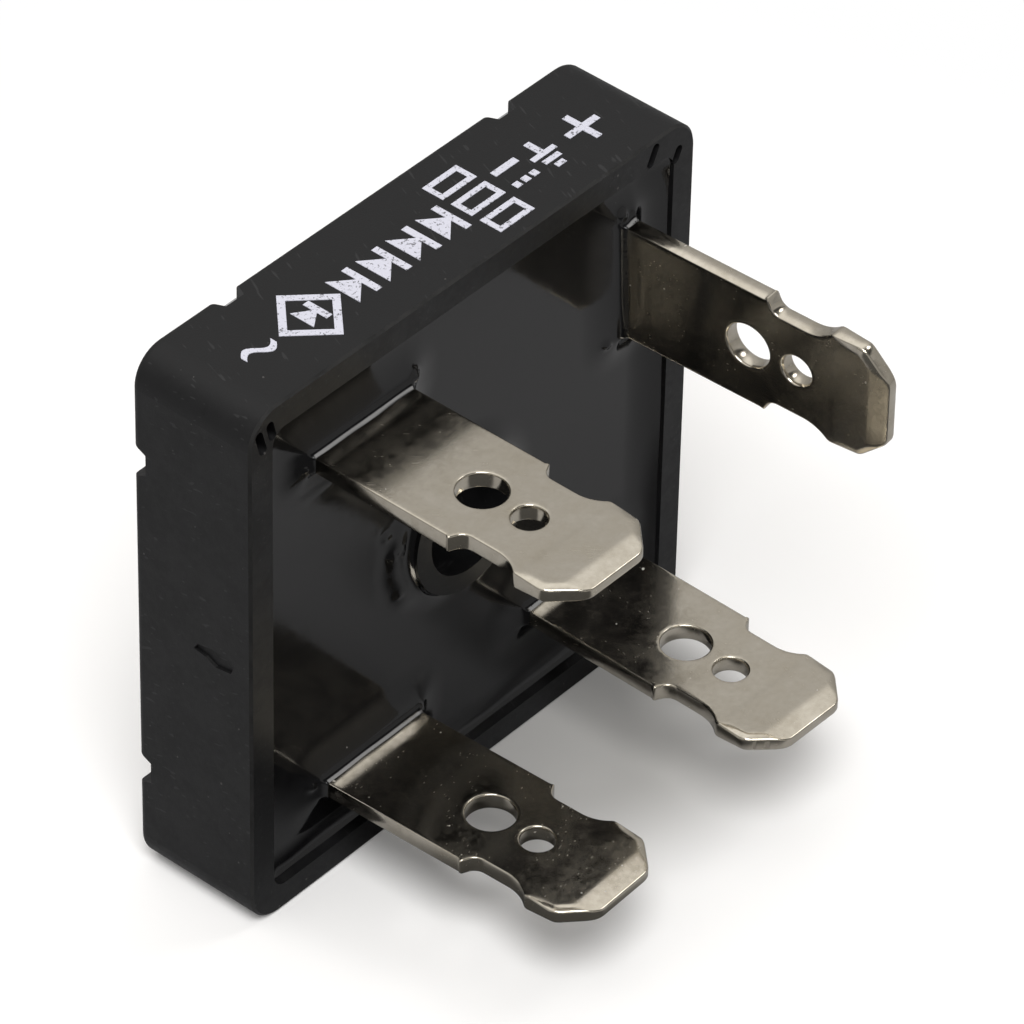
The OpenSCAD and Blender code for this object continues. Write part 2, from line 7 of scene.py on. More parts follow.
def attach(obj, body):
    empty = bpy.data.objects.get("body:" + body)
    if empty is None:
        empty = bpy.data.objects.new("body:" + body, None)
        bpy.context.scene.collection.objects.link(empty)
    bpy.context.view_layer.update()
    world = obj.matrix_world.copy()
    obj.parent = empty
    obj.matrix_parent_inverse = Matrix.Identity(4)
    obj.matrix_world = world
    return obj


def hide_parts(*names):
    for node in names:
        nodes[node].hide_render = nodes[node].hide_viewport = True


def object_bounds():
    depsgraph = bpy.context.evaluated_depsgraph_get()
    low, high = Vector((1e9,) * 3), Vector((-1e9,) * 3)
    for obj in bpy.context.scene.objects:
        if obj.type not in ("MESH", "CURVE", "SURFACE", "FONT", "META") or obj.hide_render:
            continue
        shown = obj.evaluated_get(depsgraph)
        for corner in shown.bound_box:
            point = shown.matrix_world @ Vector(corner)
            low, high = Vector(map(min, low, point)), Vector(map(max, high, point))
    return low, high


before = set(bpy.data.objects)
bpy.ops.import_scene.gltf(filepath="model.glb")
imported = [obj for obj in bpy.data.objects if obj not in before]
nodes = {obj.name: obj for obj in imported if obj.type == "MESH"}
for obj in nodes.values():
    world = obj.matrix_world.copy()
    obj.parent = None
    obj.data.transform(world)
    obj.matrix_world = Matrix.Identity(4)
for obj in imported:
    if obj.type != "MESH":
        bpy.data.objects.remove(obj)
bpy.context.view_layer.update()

mm = 0.001

# Heights above the mounting face, which lies at y = 0 and faces +Y
body = {
    "width": 28.6,
    "wall": 1.4,
    "cavityRadius": 0.8,
    "rim": 7.3,
    "sheetTop": 1.9,
    "sleeveRadius": 3.6,
}


def standUp(points):
    # plan x, plan y, height -> the part's frame, in metres
    return [Vector((x, -h, y)) * mm for x, y, h in points]


def makePiece(name, verts, faces, material, node, smoothAngle=None):
    mesh = bpy.data.meshes.new(name)
    mesh.from_pydata(verts, [], faces)
    mesh.validate()
    mesh.update()
    piece = bpy.data.objects.new(name, mesh)
    bpy.context.scene.collection.objects.link(piece)
    mesh.materials.append(material)
    mesh.shade_smooth()
    if smoothAngle:
        mesh.set_sharp_from_angle(angle=radians(smoothAngle))
    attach(piece, "root")
    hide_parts(node)
    return piece


def newGroup(name, inputs, outputs):
    group = bpy.data.node_groups.new(name, "ShaderNodeTree")
    for label, kind, value in inputs:
        socket = group.interface.new_socket(name=label, in_out="INPUT", socket_type="NodeSocket" + kind)
        if value is not None:
            socket.default_value = value
    for label, kind in outputs:
        group.interface.new_socket(name=label, in_out="OUTPUT", socket_type="NodeSocket" + kind)
    return group, group.nodes.new("NodeGroupInput"), group.nodes.new("NodeGroupOutput")


def addNode(tree, kind, values=None, **settings):
    node = tree.nodes.new("ShaderNode" + kind)
    for key, value in settings.items():
        setattr(node, key, value)
    for key, value in (values or {}).items():
        if isinstance(value, bpy.types.NodeSocket):
            tree.links.new(value, node.inputs[key])
        else:
            node.inputs[key].default_value = value
    return node


def maths(tree, operation, a, b=0.0, clamp=False):
    return addNode(tree, "Math", {0: a, 1: b}, operation=operation, use_clamp=clamp).outputs[0]


def ramp(tree, value, low, high, fromOut=0.0, toOut=1.0):
    node = addNode(tree, "MapRange", {"Value": value, "From Min": low, "From Max": high,
                                      "To Min": fromOut, "To Max": toOut},
                   interpolation_type="SMOOTHSTEP")
    return node.outputs["Result"]


def mixColour(tree, factor, a, b):
    node = tree.nodes.new("ShaderNodeMix")
    node.data_type = "RGBA"
    for index, value in ((0, factor), (6, a), (7, b)):
        if isinstance(value, bpy.types.NodeSocket):
            tree.links.new(value, node.inputs[index])
        else:
            node.inputs[index].default_value = value
    return node.outputs[2]


def place(tree):
    # the point on the object in millimetres
    coords = tree.nodes.new("ShaderNodeTexCoord")
    return addNode(tree, "VectorMath", {0: coords.outputs["Object"], "Scale": 1000.0},
                   operation="SCALE").outputs[0]


def buildDust():
    # small specks of dust and lint, scattered cell by cell
    group, enter, leave = newGroup("dust", [("Point", "Vector", None), ("Spacing", "Float", 1.0),
                                            ("Size", "Float", 0.05), ("Share", "Float", 0.4)],
                                   [("Mask", "Float")])
    density = maths(group, "DIVIDE", 1.0, enter.outputs["Spacing"])
    wobble = addNode(group, "TexNoise", {"Vector": enter.outputs["Point"], "Scale": 6.0, "Detail": 2.0})
    bent = addNode(group, "VectorMath", {0: wobble.outputs["Color"], "Scale": 0.12}, operation="SCALE")
    moved = addNode(group, "VectorMath", {0: enter.outputs["Point"], 1: bent.outputs[0]}, operation="ADD")
    cells = addNode(group, "TexVoronoi", {"Vector": moved.outputs[0], "Scale": density})
    pick = addNode(group, "SeparateColor", {"Color": cells.outputs["Color"]})
    size = maths(group, "MULTIPLY", enter.outputs["Size"], density)
    grown = maths(group, "MULTIPLY", size, maths(group, "ADD", pick.outputs[1], 0.35))
    inside = ramp(group, maths(group, "DIVIDE", cells.outputs["Distance"], grown), 0.6, 1.0, 1.0, 0.0)
    kept = maths(group, "LESS_THAN", pick.outputs[0], enter.outputs["Share"])
    group.links.new(maths(group, "MULTIPLY", inside, kept), leave.inputs["Mask"])
    return group


def buildMottle():
    # soft uneven patches at two sizes
    group, enter, leave = newGroup("mottle", [("Point", "Vector", None), ("Size", "Float", 2.0),
                                              ("Contrast", "Float", 1.0)], [("Value", "Float")])
    scale = maths(group, "DIVIDE", 1.0, enter.outputs["Size"])
    wide = addNode(group, "TexNoise", {"Vector": enter.outputs["Point"], "Scale": scale, "Detail": 3.0,
                                       "Roughness": 0.6})
    fine = addNode(group, "TexNoise", {"Vector": enter.outputs["Point"],
                                       "Scale": maths(group, "MULTIPLY", scale, 5.3), "Detail": 2.0})
    both = maths(group, "ADD", maths(group, "MULTIPLY", wide.outputs["Fac"], 0.65),
                 maths(group, "MULTIPLY", fine.outputs["Fac"], 0.35))
    centred = maths(group, "MULTIPLY", maths(group, "SUBTRACT", both, 0.5), enter.outputs["Contrast"])
    group.links.new(maths(group, "ADD", centred, 0.5, clamp=True), leave.inputs["Value"])
    return group


def buildScratches():
    # short straight marks that run mostly along the part
    group, enter, leave = newGroup("scratches", [("Point", "Vector", None), ("Turn", "Float", 0.3),
                                                 ("Width", "Float", 0.05), ("Length", "Float", 1.6),
                                                 ("Share", "Float", 0.4)], [("Mask", "Float")])
    turned = addNode(group, "VectorRotate", {"Vector": enter.outputs["Point"], "Angle": enter.outputs["Turn"],
                                             "Axis": (0.42, 0.1, 0.9)})
    across = maths(group, "DIVIDE", 1.0, enter.outputs["Width"])
    along = maths(group, "DIVIDE", 1.0, enter.outputs["Length"])
    pull = addNode(group, "CombineXYZ", {0: across, 1: along, 2: across})
    drawn = addNode(group, "VectorMath", {0: turned.outputs[0], 1: pull.outputs[0]}, operation="MULTIPLY")
    lines = addNode(group, "TexNoise", {"Vector": drawn.outputs[0], "Scale": 0.4, "Detail": 0.0})
    least = maths(group, "SUBTRACT", 0.86, maths(group, "MULTIPLY", enter.outputs["Share"], 0.3))
    most = maths(group, "ADD", least, 0.07)
    group.links.new(ramp(group, lines.outputs["Fac"], least, most), leave.inputs["Mask"])
    return group


def buildGrain():
    # the fine tooth of a moulded or tumbled surface
    group, enter, leave = newGroup("grain", [("Point", "Vector", None), ("Size", "Float", 0.08)],
                                   [("Height", "Float")])
    scale = maths(group, "DIVIDE", 1.0, enter.outputs["Size"])
    fine = addNode(group, "TexNoise", {"Vector": enter.outputs["Point"], "Scale": scale, "Detail": 3.0,
                                       "Roughness": 0.65})
    group.links.new(fine.outputs["Fac"], leave.inputs["Height"])
    return group


def buildBevels():
    # picks out the faces that slope between the rim and a side, where scuffing and a painted highlight
    # lighten the colour
    group, enter, leave = newGroup("bevels", [("WearAndHighlight", "Float", 0.5)], [("Mask", "Float")])
    coords = group.nodes.new("ShaderNodeTexCoord")
    facing = addNode(group, "SeparateXYZ", {0: coords.outputs["Normal"]})
    slope = maths(group, "MULTIPLY", facing.outputs[1], -1.0)
    rising = ramp(group, slope, 0.3, 0.6)
    falling = ramp(group, slope, 0.8, 0.97, 1.0, 0.0)
    # how strongly the bevels are lightened, for scuffing and as a painted highlight
    worn = maths(group, "ADD", maths(group, "MULTIPLY", enter.outputs["WearAndHighlight"], 1.2), 0.2, clamp=True)
    band = maths(group, "MULTIPLY", rising, falling)
    group.links.new(maths(group, "MULTIPLY", band, worn), leave.inputs["Mask"])
    return group


effects = {"bevels": buildBevels(), "dust": buildDust(), "mottle": buildMottle(),
           "scratches": buildScratches(), "grain": buildGrain()}


def useEffect(tree, name, values):
    node = tree.nodes.new("ShaderNodeGroup")
    node.node_tree = effects[name]
    for key, value in values.items():
        if isinstance(value, bpy.types.NodeSocket):
            tree.links.new(value, node.inputs[key])
        else:
            node.inputs[key].default_value = value
    return node.outputs[0]


def newMaterial(name):
    material = bpy.data.materials.new(name)
    material.use_nodes = True
    tree = material.node_tree
    tree.nodes.clear()
    shader = tree.nodes.new("ShaderNodeBsdfPrincipled")
    output = tree.nodes.new("ShaderNodeOutputMaterial")
    tree.links.new(shader.outputs[0], output.inputs[0])
    return material, tree, shader


def addBump(tree, shader, height, strength, depth):
    bump = addNode(tree, "Bump", {"Height": height, "Strength": strength, "Distance": depth * mm})
    tree.links.new(bump.outputs[0], shader.inputs["Normal"])


plasticLook = {
    "dark": (0.0055, 0.0055, 0.006, 1),
    "light": (0.0095, 0.0095, 0.01, 1),
    "edge": (0.024, 0.0235, 0.023, 1),  # on the bevelled edges: lighter for scuffing, and as a painted edge highlight
    "rubbed": (0.035, 0.035, 0.036, 1),
    "dustColour": (0.11, 0.105, 0.1, 1),
    "roughLow": 0.38,
    "roughHigh": 0.52,
    "sheen": 0.3,  # specular level
    "grainSize": 0.1,
    "grainDepth": 0.006,
}


def plasticMaterial(name, look, turn):
    material, tree, shader = newMaterial(name)
    at = place(tree)
    patches = useEffect(tree, "mottle", {"Point": at, "Size": 1.7, "Contrast": 1.8})
    colour = mixColour(tree, patches, look["dark"], look["light"])
    # the bevelled edges are lightened: scuffing, plus a painted highlight along them
    slanted = useEffect(tree, "bevels", {"WearAndHighlight": patches})
    colour = mixColour(tree, slanted, colour, look["edge"])
    rubbed = useEffect(tree, "scratches", {"Point": at, "Turn": turn, "Width": 0.06, "Share": 0.4})
    colour = mixColour(tree, maths(tree, "MULTIPLY", rubbed, 0.5), colour, look["rubbed"])
    specks = useEffect(tree, "dust", {"Point": at, "Spacing": 0.9, "Size": 0.055, "Share": 0.3})
    colour = mixColour(tree, maths(tree, "MULTIPLY", specks, 0.6), colour, look["dustColour"])
    tree.links.new(colour, shader.inputs["Base Color"])
    shader.inputs["Specular IOR Level"].default_value = look["sheen"]
    rough = ramp(tree, patches, 0.2, 0.8, look["roughLow"], look["roughHigh"])
    tree.links.new(rough, shader.inputs["Roughness"])
    grain = useEffect(tree, "grain", {"Point": at, "Size": look["grainSize"]})
    addBump(tree, shader, grain, 1.0, look["grainDepth"])
    return material


resinLook = {
    "dark": (0.0032, 0.0032, 0.0036, 1),
    "light": (0.0055, 0.0054, 0.006, 1),
    "dustColour": (0.2, 0.19, 0.18, 1),
    "rough": 0.06,
    "roughDusty": 0.16,
}


def resinMaterial(name, look):
    material, tree, shader = newMaterial(name)
    at = place(tree)
    patches = useEffect(tree, "mottle", {"Point": at, "Size": 3.0, "Contrast": 1.6})
    colour = mixColour(tree, patches, look["dark"], look["light"])
    specks = useEffect(tree, "dust", {"Point": at, "Spacing": 1.1, "Size": 0.06, "Share": 0.28})
    colour = mixColour(tree, maths(tree, "MULTIPLY", specks, 0.8), colour, look["dustColour"])
    tree.links.new(colour, shader.inputs["Base Color"])
    rough = ramp(tree, patches, 0.2, 0.9, look["rough"], look["roughDusty"])
    tree.links.new(rough, shader.inputs["Roughness"])
    swell = useEffect(tree, "grain", {"Point": at, "Size": 1.6})
    addBump(tree, shader, swell, 1.0, 0.004)
    return material


nickelLook = {
    "colour": (0.66, 0.615, 0.53, 1),
    "tarnish": (0.5, 0.455, 0.37, 1),
    "dustColour": (0.5, 0.47, 0.42, 1),
    "roughLow": 0.12,
    "roughHigh": 0.22,
}


def nickelMaterial(name, look, turn, dustShare):
    material, tree, shader = newMaterial(name)
    at = place(tree)
    patches = useEffect(tree, "mottle", {"Point": at, "Size": 1.6, "Contrast": 2.2})
    colour = mixColour(tree, patches, look["tarnish"], look["colour"])
    marks = useEffect(tree, "scratches", {"Point": at, "Turn": turn, "Width": 0.03, "Length": 0.9,
                                          "Share": 0.42})
    specks = useEffect(tree, "dust", {"Point": at, "Spacing": 0.6, "Size": 0.05, "Share": dustShare})
    colour = mixColour(tree, specks, colour, look["dustColour"])
    tree.links.new(colour, shader.inputs["Base Color"])
    tree.links.new(maths(tree, "SUBTRACT", 1.0, specks, clamp=True), shader.inputs["Metallic"])
    rough = ramp(tree, patches, 0.2, 0.8, look["roughHigh"], look["roughLow"])
    rough = maths(tree, "ADD", rough, maths(tree, "MULTIPLY", marks, 0.08))
    tree.links.new(maths(tree, "ADD", rough, maths(tree, "MULTIPLY", specks, 0.5), clamp=True),
                   shader.inputs["Roughness"])
    grain = useEffect(tree, "grain", {"Point": at, "Size": 0.09})
    addBump(tree, shader, grain, 1.0, 0.0016)
    return material


inkLook = {
    "colour": (0.62, 0.62, 0.7, 1),
    "worn": (0.12, 0.12, 0.13, 1),
    "rough": 0.55,
}


def inkMaterial(name, look):
    material, tree, shader = newMaterial(name)
    at = place(tree)
    pores = useEffect(tree, "grain", {"Point": at, "Size": 0.16})
    thin = ramp(tree, pores, 0.34, 0.44, 1.0, 0.0)
    tree.links.new(mixColour(tree, thin, look["colour"], look["worn"]), shader.inputs["Base Color"])
    shader.inputs["Roughness"].default_value = look["rough"]
    addBump(tree, shader, pores, 1.0, 0.01)
    return material


aluminiumLook = {
    "colour": (0.62, 0.63, 0.64, 1),
    "dull": (0.4, 0.405, 0.41, 1),
    "scratched": (0.74, 0.75, 0.76, 1),
    "roughLow": 0.26,
    "roughHigh": 0.48,
}


def aluminiumMaterial(name, look):
    material, tree, shader = newMaterial(name)
    at = place(tree)
    rolled = addNode(tree, "VectorMath", {0: at, 1: (0.12, 1.0, 6.0)}, operation="MULTIPLY").outputs[0]
    lines = useEffect(tree, "mottle", {"Point": rolled, "Size": 0.8, "Contrast": 1.6})
    patches = useEffect(tree, "mottle", {"Point": at, "Size": 4.5, "Contrast": 2.4})
    shade = maths(tree, "MULTIPLY", maths(tree, "ADD", lines, patches), 0.5)
    marks = useEffect(tree, "scratches", {"Point": at, "Turn": 1.2, "Width": 0.07, "Length": 4.0,
                                          "Share": 0.5})
    colour = mixColour(tree, shade, look["dull"], look["colour"])
    colour = mixColour(tree, maths(tree, "MULTIPLY", marks, 0.5), colour, look["scratched"])
    tree.links.new(colour, shader.inputs["Base Color"])
    shader.inputs["Metallic"].default_value = 1.0
    tree.links.new(ramp(tree, shade, 0.25, 0.75, look["roughHigh"], look["roughLow"]),
                   shader.inputs["Roughness"])
    addBump(tree, shader, lines, 1.0, 0.006)
    return material


def innerMaterial(name, colour, shade, metallic, rough, size):
    # the pieces sealed inside: each still has its own uneven finish
    material, tree, shader = newMaterial(name)
    at = place(tree)
    patches = useEffect(tree, "mottle", {"Point": at, "Size": size, "Contrast": 1.8})
    tree.links.new(mixColour(tree, patches, shade, colour), shader.inputs["Base Color"])
    shader.inputs["Metallic"].default_value = metallic
    tree.links.new(ramp(tree, patches, 0.2, 0.8, rough + 0.1, rough), shader.inputs["Roughness"])
    grain = useEffect(tree, "grain", {"Point": at, "Size": 0.1})
    addBump(tree, shader, grain, 1.0, 0.005)
    return material


casePlastic = plasticMaterial("case plastic", plasticLook, 0.4)
sleevePlastic = plasticMaterial("sleeve plastic", dict(plasticLook, roughLow=0.3, roughHigh=0.42), 1.3)
pottingResin = resinMaterial("potting resin", resinLook)
printInk = inkMaterial("print ink", inkLook)
plateAluminium = aluminiumMaterial("plate aluminium", aluminiumLook)
sheetCeramic = innerMaterial("sheet ceramic", (0.75, 0.74, 0.68, 1), (0.64, 0.63, 0.57, 1), 0.0, 0.6, 2.0)
linkCopper = innerMaterial("link copper", (0.72, 0.34, 0.2, 1), (0.5, 0.22, 0.13, 1), 1.0, 0.28, 1.5)
chipSilicon = innerMaterial("chip silicon", (0.11, 0.12, 0.15, 1), (0.07, 0.08, 0.1, 1), 0.4, 0.2, 1.0)
solderTin = innerMaterial("solder", (0.6, 0.6, 0.62, 1), (0.42, 0.42, 0.44, 1), 1.0, 0.3, 0.6)
print("materials made")

finishes = {"case": casePlastic, "hole_sleeve": sleevePlastic, "base_plate": plateAluminium,
            "insulating_sheet": sheetCeramic, "printed_marks": printInk, "potting": pottingResin}
for name, node in nodes.items():
    if name in finishes:
        material = finishes[name]
    elif name.startswith(("plate_", "link_")):
        material = linkCopper
    elif name.startswith("diode_"):
        material = chipSilicon
    elif name.startswith("solder_"):
        material = solderTin
    else:
        continue
    node.data.materials.clear()
    node.data.materials.append(material)
print("finishes put on the drawn parts")

bladeShape = {
    "width": 6.3,
    "thick": 0.8,
    "tip": 21.1,  # height of the tip above the mounting face
    "shoulderDrop": 6.35,
    "burr": 0.08,
    "neckDrop": 4.4,
    "neckIn": 0.62,
    "headDrop": 2.9,
    "headIn": 0.06,
    "chamfer": 1.4,
    "round": 0.8,
    "coinTip": 0.95,
    "coinSide": 0.3,
    "coinDepth": 0.18,
    "coinSideDepth": 0.12,
    "edgeRadius": 0.08,
    "holes": ((7.4, 2.3), (4.8, 1.6)),
    "footLength": 2.5,
    "step": 0.13,  # spacing of the points across a face
}


def arcPoints(x, y, r, start, end, count=8):
    angles = [radians(start + (end - start) * i / count) for i in range(count + 1)]
    return [(x + r * cos(a), y + r * sin(a)) for a in angles]


def headEdge(shape):
    # right-hand edge from the shoulder up, v = 0 at the tip
    s = shape["width"] / 2
    n = s - shape["neckIn"]
    h = s - shape["headIn"]
    c, k = shape["chamfer"], shape["round"]
    burr, shoulder = shape["burr"], shape["shoulderDrop"]
    neckDrop, headDrop = shape["neckDrop"], shape["headDrop"]
    ease = k * tan(radians(22.5))
    turn = degrees(2 * atan((h - n) / (neckDrop - headDrop)))
    r = (h - n) / (1 - cos(radians(turn)))
    points = [(s, -shoulder - 3 * burr)]
    points += arcPoints(s, -shoulder - 2 * burr, burr, -60, 60)
    points += arcPoints(s, -shoulder + s - n, s - n, 250, 180)
    points += arcPoints(n + 0.85 * r, -neckDrop, 0.85 * r, 180, 180 - turn)
    points += arcPoints(h - 0.15 * r, -headDrop, 0.15 * r, -turn, 0, 5)
    points += arcPoints(h - k, -c - ease, k, 0, 45)
    points += arcPoints(h - c - ease, -k, k, 45, 90)
    return points


def evenly(points, step, closed=True):
    # points at an even pace along a line of straight pieces
    line = np.array(points + [points[0]] if closed else points, float)
    lengths = np.hypot(*np.diff(line, axis=0).T)
    reach = np.concatenate([[0], np.cumsum(lengths)])
    count = max(8, int(round(reach[-1] / step)))
    at = np.linspace(0, reach[-1], count + (0 if closed else 1), endpoint=not closed)
    return np.column_stack([np.interp(at, reach, line[:, 0]), np.interp(at, reach, line[:, 1])])


def distanceTo(points, loops):
    # distance of each point from the nearest of the closed loops
    best = np.full(len(points), 1e9)
    for loop in loops:
        a, b = loop, np.roll(loop, -1, axis=0)
        for p, q in zip(a, b):
            d = q - p
            t = np.clip(((points - p) @ d) / max(d @ d, 1e-12), 0, 1)
            best = np.minimum(best, np.hypot(*(points - p - t[:, None] * d).T))
    return best


def insideOf(points, loop):
    odd = np.zeros(len(points), bool)
    x, y = points.T
    for p, q in zip(loop, np.roll(loop, -1, axis=0)):
        if p[1] == q[1]:
            continue
        crosses = (p[1] > y) != (q[1] > y)
        odd ^= crosses & (x < (q[0] - p[0]) * (y - p[1]) / (q[1] - p[1]) + p[0])
    return odd


def meshInside(outer, holes, step, offsets, extra=None):
    # triangles that fill the outline: its loops, rings just inside them, and a grid
    loops = [outer] + holes
    rings = []
    for loop in loops:
        ahead, behind = np.roll(loop, -1, axis=0), np.roll(loop, 1, axis=0)
        along = ahead - behind
        along /= np.maximum(np.hypot(*along.T), 1e-9)[:, None]
        normal = np.column_stack([-along[:, 1], along[:, 0]])
        for offset in offsets:
            ring = loop + normal * offset
            far = distanceTo(ring, loops)
            rings.append(ring[far > 0.93 * offset])
    # the grid, with every second row shifted by half a step
    low, high = outer.min(0), outer.max(0)
    xs = np.arange(low[0], high[0] + step, step)
    ys = np.arange(low[1], high[1] + step, step)
    grid = np.array([(x + (step / 2 if j % 2 else 0), y) for j, y in enumerate(ys) for x in xs])
    keep = insideOf(grid, outer)
    for hole in holes:
        keep &= ~insideOf(grid, hole)
    grid = grid[keep]
    grid = grid[distanceTo(grid, loops) > max(offsets) + 0.4 * step]
    if extra is not None:
        rings.append(extra[insideOf(extra, outer) & (distanceTo(extra, loops) > 0.4 * step)])
    points = np.vstack(loops + rings + [grid])
    edges, starts, first = [], [], 0
    for loop in loops:
        count = len(loop)
        edges += [(first + i, first + (i + 1) % count) for i in range(count)]
        starts.append((first, count))
        first += count
    result = geometry.delaunay_2d_cdt([Vector(p) for p in points], edges, [], 0, 1e-7)
    flat = np.array([tuple(v) for v in result[0]])
    origin = {}
    for new, olds in enumerate(result[3]):
        for old in olds:
            origin[old] = new
    middles = np.array([flat[list(f)].mean(0) for f in result[2]])
    inside = insideOf(middles, outer)
    for hole in holes:
        inside &= ~insideOf(middles, hole)
    faces = [f for f, ok in zip(result[2], inside) if ok]
    borders = [[origin[start + i] for i in range(count)] for start, count in starts]
    return flat, faces, borders


def leanOf(seat):
    across, along = seat["lean"]
    return Matrix.Rotation(radians(along), 3, "Y") @ Matrix.Rotation(radians(across), 3, "X")


def bladeFaces(shape, length):
    right = headEdge(shape)
    left = [(-u, v) for u, v in reversed(right)]
    half = shape["width"] / 2
    outline = [(half, -length)] + right + left + [(-half, -length)]
    outer = evenly(outline, 0.075)
    holes = []
    for drop, diameter in shape["holes"]:
        ring = [(diameter / 2 * cos(radians(a)), -drop + diameter / 2 * sin(radians(a)))
                for a in range(360, 0, -6)]
        holes.append(np.array(ring))
    radius = shape["edgeRadius"]
    return meshInside(outer, holes, shape["step"], [0.3 * radius, 0.65 * radius, radius])


def coinedAway(shape, flat):
    # how much the coined edges of the head thin the blade, on each side
    u, v = np.abs(flat[:, 0]), flat[:, 1]
    half = shape["width"] / 2 - shape["headIn"]
    tip = shape["coinDepth"] * (1 + v / shape["coinTip"])
    toChamfer = ((half - u) - v - shape["chamfer"]) / sqrt(2)
    chamfer = shape["coinSideDepth"] * (1 - toChamfer / shape["coinSide"])
    fade = np.clip((v + shape["headDrop"]) / 1.2, 0, 1)
    side = shape["coinSideDepth"] * (1 - (half - u) / shape["coinSide"]) * fade
    soft = 0.012  # the creases are a little round
    deepest = np.zeros(len(flat))
    for part in (tip, chamfer, side):
        gap = deepest - part
        deepest = 0.5 * (deepest + part + np.sqrt(gap ** 2 + soft ** 2))
    return deepest - 1.2 * soft


def makeTerminal(name, node, shape, seat, material):
    footZ = seat["foot"]
    flat, faces, borders = bladeFaces(shape, shape["tip"] - footZ - shape["thick"] / 2)
    loops = [flat[b] for b in borders]
    away = distanceTo(flat, loops)
    radius = shape["edgeRadius"]
    inside = np.clip(radius - away, 0, radius)
    drop = radius - np.sqrt(np.maximum(radius ** 2 - inside ** 2, 0))
    level = shape["thick"] / 2 - drop - coinedAway(shape, flat)
    count = len(flat)
    local = [(u, t, v + shape["tip"]) for (u, v), t in zip(flat, level)]
    local += [(u, -t, v + shape["tip"]) for (u, v), t in zip(flat, level)]
    polygons = [tuple(reversed(f)) for f in faces] + [tuple(i + count for i in f) for f in faces]
    for border in borders:
        for a, b in zip(border, border[1:] + border[:1]):
            polygons.append((a, b, b + count, a + count))
    # the foot, turned away from the blade at its lower end
    half, thick = shape["width"] / 2, shape["thick"] / 2
    base = len(local)
    for y in (-thick - shape["footLength"], thick):
        for x in (-half, half):
            for z in (footZ, footZ + shape["thick"]):
                local.append((x, y, z))
    polygons += [tuple(base + i for i in f) for f in
                 ((0, 1, 3, 2), (4, 6, 7, 5), (0, 4, 5, 1), (2, 3, 7, 6), (0, 2, 6, 4), (1, 5, 7, 3))]
    pivot = footZ + shape["thick"]
    lean = leanOf(seat)
    turn = Matrix.Rotation(radians(seat["turn"]), 3, "Z")
    placed = []
    for index, p in enumerate(local):
        q = Vector(p)
        if index < base:
            q = lean @ (q - Vector((0, 0, pivot))) + Vector((0, 0, pivot))
        q = turn @ q
        placed.append((q.x + seat["x"], q.y + seat["y"], q.z))
    return makePiece(name, standUp(placed), polygons, material, node, 40)


terminalSeats = {
    "positive": {"x": 10.3, "y": 7.3, "turn": -87.2, "lean": (-3.2, 1.6), "foot": 2.5, "dust": 0.12},
    "negative": {"x": -6.3, "y": -9.5, "turn": 180, "lean": (0, -1.8), "foot": 2.5, "dust": 0.5},
    "ac_left": {"x": -7.0, "y": 9.4, "turn": 0, "lean": (0, 0), "foot": 3.5, "dust": 0.15},
    "ac_right": {"x": 7.2, "y": -8.2, "turn": 180, "lean": (0, 0.8), "foot": 3.5, "dust": 0.3},
}
for index, (name, seat) in enumerate(terminalSeats.items()):
    nickel = nickelMaterial("nickel " + name.replace("_", " "), nickelLook, 0.5 + index, seat["dust"])
    makeTerminal("blade_" + name, "terminal_" + name, bladeShape, seat, nickel)
print("terminals made")

pool = {
    "level": 6.48,
    # each climb: height and reach of its wide foot, height and reach of its steep top
    "rightClimb": (0.62, 1.8, 0.0, 0.1),
    "leftClimb": (0.24, 0.9, 0.0, 0.1),
    "upperClimb": (0.26, 1.0, 0.0, 0.1),
    "lowerClimb": (0.35, 1.1, 0.0, 0.1),
    "bladeClimb": (0.5, 2.3, 0.27, 0.09),
    "sleeveClimb": (0.3, 1.3, 0.2, 0.1),
    "step": 0.14,
    "overflow": {"radius": 4.35, "from": 150, "to": 222, "width": 0.6, "height": 0.24},
    # beads and dents of resin: plan x, plan y, radius, height
    "beads": ((-4.9, 1.7, 0.3, 0.1), (-4.6, 0.55, 0.26, 0.09), (-4.2, -1.9, 0.25, 0.08),
              (-10.45, 9.2, 0.2, 0.14), (-3.4, 10.0, 0.26, 0.22), (-9.9, -9.2, 0.22, 0.14),
              (-2.8, -9.2, 0.26, 0.16), (10.1, 10.8, 0.26, 0.18), (9.45, 3.85, 0.22, 0.16)),
}


def roundedSquare(half, radius, step):
    points = []
    for x, y, start in ((1, 1, 0), (-1, 1, 90), (-1, -1, 180), (1, -1, 270)):
        points += arcPoints(x * (half - radius), y * (half - radius), radius, start, start + 90)
    return evenly(points, step)


def bladeDistance(points, shape, seat, height):
    # distance from a blade's cross-section where the resin meets it
    rise = height - seat["foot"] - shape["thick"]
    shift = leanOf(seat) @ Vector((0, 0, rise))
    a = radians(-seat["turn"])
    dx, dy = points[:, 0] - seat["x"], points[:, 1] - seat["y"]
    u = dx * cos(a) - dy * sin(a) - shift.x
    t = dx * sin(a) + dy * cos(a) - shift.y
    du = np.maximum(np.abs(u) - shape["width"] / 2, 0)
    dt = np.maximum(np.abs(t) - shape["thick"] / 2, 0)
    return np.hypot(du, dt)


def climb(away, sizes):
    foot, reach, top, edge = sizes
    away = np.maximum(away, 0)
    return foot * np.maximum(1 - away / reach, 0) ** 2 + top * np.exp(-away / edge)


def wander(points, seed, size):
    # slow uneven swell, from a few waves that cross
    draw = np.random.default_rng(seed)
    waves, turn = 7, 6.28
    total = np.zeros(len(points))
    for _ in range(waves):
        angle, phase = draw.uniform(0, turn, 2)
        pace = draw.uniform(0.6, 1.6) / size
        total += np.sin((points[:, 0] * cos(angle) + points[:, 1] * sin(angle)) * pace * turn + phase)
    return total / waves


